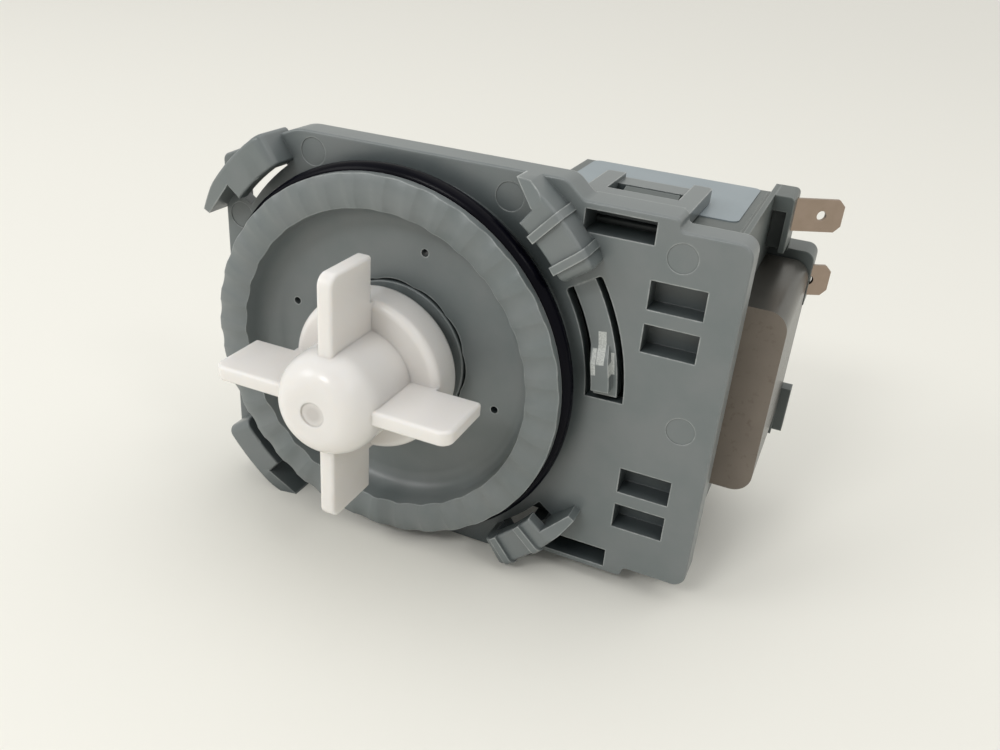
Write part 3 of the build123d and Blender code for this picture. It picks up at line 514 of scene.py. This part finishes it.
# Acetal, moulded: ivory, dense and slightly waxy, with an even gloss and a faint cloud.
acetal, tree = new_material("acetal_moulded_ivory")
place = add(tree, "ShaderNodeTexCoord").outputs["Object"]
cloud = add(tree, "ShaderNodeTexNoise", {"Scale": per_mm(5), "Detail": 3}, {"Vector": place})
tone = add(
    tree,
    "ShaderNodeMixRGB",
    {"Color1": linear("#cfc9b8"), "Color2": linear("#dcd7c8")},
    {"Fac": cloud.outputs["Fac"]},
)
shader = add(
    tree,
    "ShaderNodeBsdfPrincipled",
    {"IOR": 1.48, "Roughness": 0.3, "Subsurface Weight": 0.15, "Subsurface Scale": 0.001},
    {"Base Color": tone.outputs["Color"]},
)
add(tree, "ShaderNodeOutputMaterial", links={"Surface": shader.outputs["BSDF"]})
for node in ("magnet_sleeve", "front_thrust_washer", "rear_thrust_washer", "drive_dog"):
    dress(node, acetal)


# Bearings
# Two plain sleeves that the shaft runs in, wetted by the pumped water. They are carbon graphite, pressed and
# turned.

# Carbon graphite, turned: near black with a dull sheen and faint grains, drawn 0.3 mm across, coarser than
# they are.
graphite, tree = new_material("carbon_graphite_turned")
place = add(tree, "ShaderNodeTexCoord").outputs["Object"]
grains = add(tree, "ShaderNodeTexNoise", {"Scale": per_mm(0.3), "Detail": 3}, {"Vector": place})
tone = add(
    tree,
    "ShaderNodeMixRGB",
    {"Color1": linear("#222326"), "Color2": linear("#34363a")},
    {"Fac": grains.outputs["Fac"]},
)
shader = add(
    tree, "ShaderNodeBsdfPrincipled", {"Roughness": 0.4}, {"Base Color": tone.outputs["Color"]}
)
add(tree, "ShaderNodeOutputMaterial", links={"Surface": shader.outputs["BSDF"]})
for node in ("front_bearing", "rear_bearing"):
    dress(node, graphite)


# Iron stack
# The motor's yoke, whose legs reach round the can that the rotor runs in. It is a stack of sheets of
# electrical steel about 0.5 mm thick, punched and pressed together.

# Electrical steel, punched: the cut edges are bare dark grey and show as fine lines, a little shinier than the
# flat faces, which keep their dull brown varnish with a little rust in it.
lamination, tree = new_material("electrical_steel_punched")
coordinates = add(tree, "ShaderNodeTexCoord")
place = coordinates.outputs["Object"]
cloud = add(tree, "ShaderNodeTexNoise", {"Scale": per_mm(5), "Detail": 4}, {"Vector": place})
rust = add(tree, "ShaderNodeTexNoise", {"Scale": per_mm(1.2), "Detail": 4}, {"Vector": place})
facing = add(tree, "ShaderNodeSeparateXYZ", links={"Vector": coordinates.outputs["Normal"]})
flat_face = add(tree, "ShaderNodeMath", {"operation": "ABSOLUTE"}, {0: facing.outputs["Y"]})
is_flat = add(
    tree, "ShaderNodeMapRange", {"From Min": 0.6, "From Max": 0.9}, {"Value": flat_face.outputs["Value"]}
)
cut = add(
    tree,
    "ShaderNodeMixRGB",
    {"Color1": linear("#4a4945"), "Color2": linear("#575651")},
    {"Fac": cloud.outputs["Fac"]},
)
varnish = add(
    tree,
    "ShaderNodeMixRGB",
    {"Color1": linear("#7d746b"), "Color2": linear("#8b8278")},
    {"Fac": cloud.outputs["Fac"]},
)
rusty = add(
    tree,
    "ShaderNodeMapRange",
    {"From Min": 0.6, "From Max": 0.75, "To Max": 0.4},
    {"Value": rust.outputs["Fac"]},
)
stained = add(
    tree,
    "ShaderNodeMixRGB",
    {"Color2": linear("#66564a")},
    {"Fac": rusty.outputs["Result"], "Color1": varnish.outputs["Color"]},
)
tone = add(
    tree,
    "ShaderNodeMixRGB",
    links={
        "Fac": is_flat.outputs["Result"],
        "Color1": cut.outputs["Color"],
        "Color2": stained.outputs["Color"],
    },
)
gloss = add(
    tree, "ShaderNodeMapRange", {"To Min": 0.28, "To Max": 0.6}, {"Value": is_flat.outputs["Result"]}
)
shader = add(
    tree,
    "ShaderNodeBsdfPrincipled",
    {"Metallic": 0.5},
    {"Base Color": tone.outputs["Color"], "Roughness": gloss.outputs["Result"]},
)
add(tree, "ShaderNodeOutputMaterial", links={"Surface": shader.outputs["BSDF"]})

# The copy's mesh is squeezed to one sheet and repeated to the full depth, with a hair of a gap between sheets.
sheet_pitch = 0.0005
sheet_gap = 0.00004
stack = dress("stator_yoke", lamination)
front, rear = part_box("stator_yoke")[0].y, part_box("stator_yoke")[1].y
sheet_count = round((rear - front) / sheet_pitch)
pitch = (rear - front) / sheet_count
for vertex in stack.data.vertices:
    vertex.co.y = front if vertex.co.y < (front + rear) / 2 else front + pitch - sheet_gap
repeat = stack.modifiers.new("sheets", "ARRAY")
repeat.use_relative_offset = False
repeat.use_constant_offset = True
repeat.constant_offset_displace = (0, pitch, 0)
repeat.count = sheet_count
bpy.ops.object.modifier_apply(modifier="sheets")


# Bobbins, coil housing, terminal block and core retainer
# The two coil formers, the sleeve over both coils, the block that holds the blades and the strap behind the
# iron. All are dark polyamide filled with glass, injection moulded.

# Glass-filled polyamide, moulded: darker than the plate and satin. Its edges are painted slightly paler,
# partly as wear and partly as painted highlight, and its recesses are darkened with painted shade.
# Its fibres are drawn as a grain 0.4 mm across, coarser than they are.
dark_plastic, tree = new_material("glass_filled_polyamide_moulded_dark")
place = add(tree, "ShaderNodeTexCoord").outputs["Object"]
cloud = add(tree, "ShaderNodeTexNoise", {"Scale": per_mm(6), "Detail": 3}, {"Vector": place})
fibre = add(tree, "ShaderNodeTexNoise", {"Scale": per_mm(0.4), "Detail": 2}, {"Vector": place})
tone = add(
    tree,
    "ShaderNodeMixRGB",
    {"Color1": linear("#4f5655"), "Color2": linear("#585e5c")},
    {"Fac": cloud.outputs["Fac"]},
)
depth = add(
    tree,
    "ShaderNodeAmbientOcclusion",
    {"inside": True, "only_local": True, "samples": 6, "Distance": edge_reach},
)
# Painted highlight and wear: sharp edges, found by occlusion inside the surface, are mixed toward a pale grey.
edge = add(
    tree,
    "ShaderNodeMapRange",
    {"From Min": 0.92, "From Max": 0.58, "To Max": 0.4},
    {"Value": depth.outputs["AO"]},
)
rubbed_and_highlit = add(
    tree,
    "ShaderNodeMixRGB",
    {"Color2": linear("#9aa09c")},
    {"Fac": edge.outputs["Result"], "Color1": tone.outputs["Color"]},
)
# Painted shade: corners and recesses, found by occlusion within 9 mm, are mixed toward a near black grey.
shelter = add(tree, "ShaderNodeAmbientOcclusion", {"samples": 6, "Distance": painted_shade_reach})
painted_recess_shade = add(
    tree,
    "ShaderNodeMapRange",
    {"From Min": 0.85, "From Max": 0.2, "To Max": 0.75},
    {"Value": shelter.outputs["AO"]},
)
painted_shade_base = add(
    tree,
    "ShaderNodeMixRGB",
    {"Color2": linear("#262c2c")},
    {"Fac": painted_recess_shade.outputs["Result"], "Color1": rubbed_and_highlit.outputs["Color"]},
)
eased = add(tree, "ShaderNodeBevel", {"samples": 6, "Radius": 0.00025})
bump = add(
    tree,
    "ShaderNodeBump",
    {"Strength": 0.15, "Distance": 0.00003},
    {"Height": fibre.outputs["Fac"], "Normal": eased.outputs["Normal"]},
)
shader = add(
    tree,
    "ShaderNodeBsdfPrincipled",
    {"Roughness": 0.38},
    {"Base Color": painted_shade_base.outputs["Color"], "Normal": bump.outputs["Normal"]},
)
add(tree, "ShaderNodeOutputMaterial", links={"Surface": shader.outputs["BSDF"]})
for node in ("upper_bobbin", "lower_bobbin", "coil_housing", "terminal_block", "core_retainer"):
    dress(node, dark_plastic)


# Coils, leads and thermal protector
# The two windings of enamelled copper wire, the leads from them, and the cut-out that lies on the upper
# winding, a small can in a black shrink sleeve.

# Enamelled copper, wound: reddish brown and shiny, with bands across it for the turns. A wave texture has 20
# radians in a unit of its scale, so the bands are 1.9 mm apart, coarser than the wire of about 0.3 mm.
enamelled_copper, tree = new_material("enamelled_copper_wound")
place = add(tree, "ShaderNodeTexCoord").outputs["Object"]
turns = add(
    tree,
    "ShaderNodeTexWave",
    {"wave_type": "BANDS", "bands_direction": "X", "Scale": per_mm(0.3) / 20, "Distortion": 0.2},
    {"Vector": place},
)
tone = add(
    tree,
    "ShaderNodeMixRGB",
    {"Color1": linear("#6b2e16"), "Color2": linear("#b4602e")},
    {"Fac": turns.outputs["Fac"]},
)
shader = add(
    tree,
    "ShaderNodeBsdfPrincipled",
    {"Metallic": 0.8, "Roughness": 0.3},
    {"Base Color": tone.outputs["Color"]},
)
add(tree, "ShaderNodeOutputMaterial", links={"Surface": shader.outputs["BSDF"]})
for node in ("upper_coil", "lower_coil", "winding_leads"):
    dress(node, enamelled_copper)

# Polyester sleeve, shrunk on: black and smooth, with shallow creases.
heat_shrink, tree = new_material("polyester_sleeve_shrunk_black")
place = add(tree, "ShaderNodeTexCoord").outputs["Object"]
creases = add(tree, "ShaderNodeTexNoise", {"Scale": per_mm(2), "Detail": 3}, {"Vector": place})
bump = add(
    tree, "ShaderNodeBump", {"Strength": 0.4, "Distance": 0.0001}, {"Height": creases.outputs["Fac"]}
)
shader = add(
    tree,
    "ShaderNodeBsdfPrincipled",
    {"Base Color": linear("#1b1b1d"), "Roughness": 0.35},
    {"Normal": bump.outputs["Normal"]},
)
add(tree, "ShaderNodeOutputMaterial", links={"Surface": shader.outputs["BSDF"]})
dress("thermal_protector", heat_shrink)


# Label
# The label on the housing, left bare. It is matt polyester film with a thin coat of aluminium, stuck on the
# flat top.

# Silvered polyester film: a pale, cool grey with a soft sheen and a faint cloud.
label_film, tree = new_material("polyester_film_silvered")
place = add(tree, "ShaderNodeTexCoord").outputs["Object"]
cloud = add(tree, "ShaderNodeTexNoise", {"Scale": per_mm(8), "Detail": 3}, {"Vector": place})
tone = add(
    tree,
    "ShaderNodeMixRGB",
    {"Color1": linear("#8a959a"), "Color2": linear("#96a0a5")},
    {"Fac": cloud.outputs["Fac"]},
)
shader = add(
    tree,
    "ShaderNodeBsdfPrincipled",
    {"Metallic": 0.2, "Roughness": 0.4},
    {"Base Color": tone.outputs["Color"]},
)
add(tree, "ShaderNodeOutputMaterial", links={"Surface": shader.outputs["BSDF"]})
dress("rating_label", label_film)


# Blade terminals
# The two flat blades that take the push-on connectors. They are stamped from tinned brass strip and pressed
# into their block.

# Tinned brass, stamped: dull and warm, with tarnish in patches that also changes its gloss.
tinned_brass, tree = new_material("tinned_brass_stamped")
place = add(tree, "ShaderNodeTexCoord").outputs["Object"]
tarnish = add(tree, "ShaderNodeTexNoise", {"Scale": per_mm(2), "Detail": 4}, {"Vector": place})
tone = add(
    tree,
    "ShaderNodeMixRGB",
    {"Color1": linear("#928375"), "Color2": linear("#a69588")},
    {"Fac": tarnish.outputs["Fac"]},
)
gloss = add(
    tree, "ShaderNodeMapRange", {"To Min": 0.3, "To Max": 0.5}, {"Value": tarnish.outputs["Fac"]}
)
shader = add(
    tree,
    "ShaderNodeBsdfPrincipled",
    {"Metallic": 1},
    {"Base Color": tone.outputs["Color"], "Roughness": gloss.outputs["Result"]},
)
add(tree, "ShaderNodeOutputMaterial", links={"Surface": shader.outputs["BSDF"]})
for node in ("upper_terminal", "lower_terminal"):
    dress(node, tinned_brass)


# Floor and light
# The pump stands on a plain pale floor. A wide soft light comes from above and behind, a soft panel fills in
# from the left, and two small ones show as highlights. The room round it is pale and lighter on the left.
floor_height = cad_box[0][2]
bpy.ops.object.select_all(action="DESELECT")
bpy.ops.mesh.primitive_circle_add(vertices=96, radius=6, fill_type="NGON", location=(0, 0, floor_height))
floor = bpy.context.active_object
floor.name = "floor"
bpy.ops.object.transform_apply(location=True, rotation=True, scale=True)

# Matt paper: plain warm white with almost no gloss.
floor_paper, tree = new_material("floor_paper_pale")
shader = add(
    tree,
    "ShaderNodeBsdfPrincipled",
    {"Base Color": linear("#f1efe6"), "Roughness": 0.9, "Specular IOR Level": 0.1},
)
add(tree, "ShaderNodeOutputMaterial", links={"Surface": shader.outputs["BSDF"]})
floor.data.materials.append(floor_paper)

# The room's light falls off from left to right. The camera, reflections and see-through rays meet a pale wall.
world = bpy.data.worlds.new("studio")
scene.world = world
world.use_nodes = True
tree = world.node_tree
tree.nodes.clear()
towards = add(tree, "ShaderNodeTexCoord").outputs["Generated"]
across = add(tree, "ShaderNodeSeparateXYZ", links={"Vector": towards})
fade = add(
    tree,
    "ShaderNodeMapRange",
    {"From Min": -1, "From Max": 1, "To Min": 0.78, "To Max": 0.34},
    {"Value": across.outputs["X"]},
)
room = add(tree, "ShaderNodeBackground", {"Color": (1, 1, 1, 1)}, {"Strength": fade.outputs["Result"]})
pale_wall = add(tree, "ShaderNodeBackground", {"Color": linear("#f0efe9"), "Strength": 0.85})
ray = add(tree, "ShaderNodeLightPath")
seen = add(
    tree,
    "ShaderNodeMath",
    {"operation": "MAXIMUM"},
    {0: ray.outputs["Is Camera Ray"], 1: ray.outputs["Is Glossy Ray"]},
)
seen = add(
    tree,
    "ShaderNodeMath",
    {"operation": "MAXIMUM"},
    {0: seen.outputs["Value"], 1: ray.outputs["Is Transmission Ray"]},
)
surround = add(
    tree,
    "ShaderNodeMixShader",
    links={"Fac": seen.outputs["Value"], 1: room.outputs["Background"], 2: pale_wall.outputs["Background"]},
)
add(tree, "ShaderNodeOutputWorld", links={"Surface": surround.outputs["Shader"]})

key = bpy.data.objects.new("key_light", bpy.data.lights.new("key_light", "SUN"))
key.data.energy = 0.85
key.data.angle = math.radians(70)
key.rotation_euler = Vector((0.3, 0.3, 1.0)).to_track_quat("Z", "Y").to_euler()
scene.collection.objects.link(key)

# Each panel has its place in metres, its width and height, and its power in watts. It faces the pump.
for name, panel_place, size, power in (
    ("front_panel", Vector((-0.19, -0.75, 0.64)), (0.26, 0.18), 2.0),
    ("left_panel", Vector((-0.8, -0.65, 0.6)), (0.5, 0.4), 2.2),
    ("side_panel", Vector((0.62, -0.3, 0.66)), (0.2, 0.14), 0.5),
):
    panel = bpy.data.objects.new(name, bpy.data.lights.new(name, "AREA"))
    panel.data.shape = "RECTANGLE"
    panel.data.size, panel.data.size_y = size
    panel.data.energy = power
    panel.location = panel_place
    panel.rotation_euler = panel_place.to_track_quat("Z", "Y").to_euler()
    panel.visible_camera = False
    scene.collection.objects.link(panel)
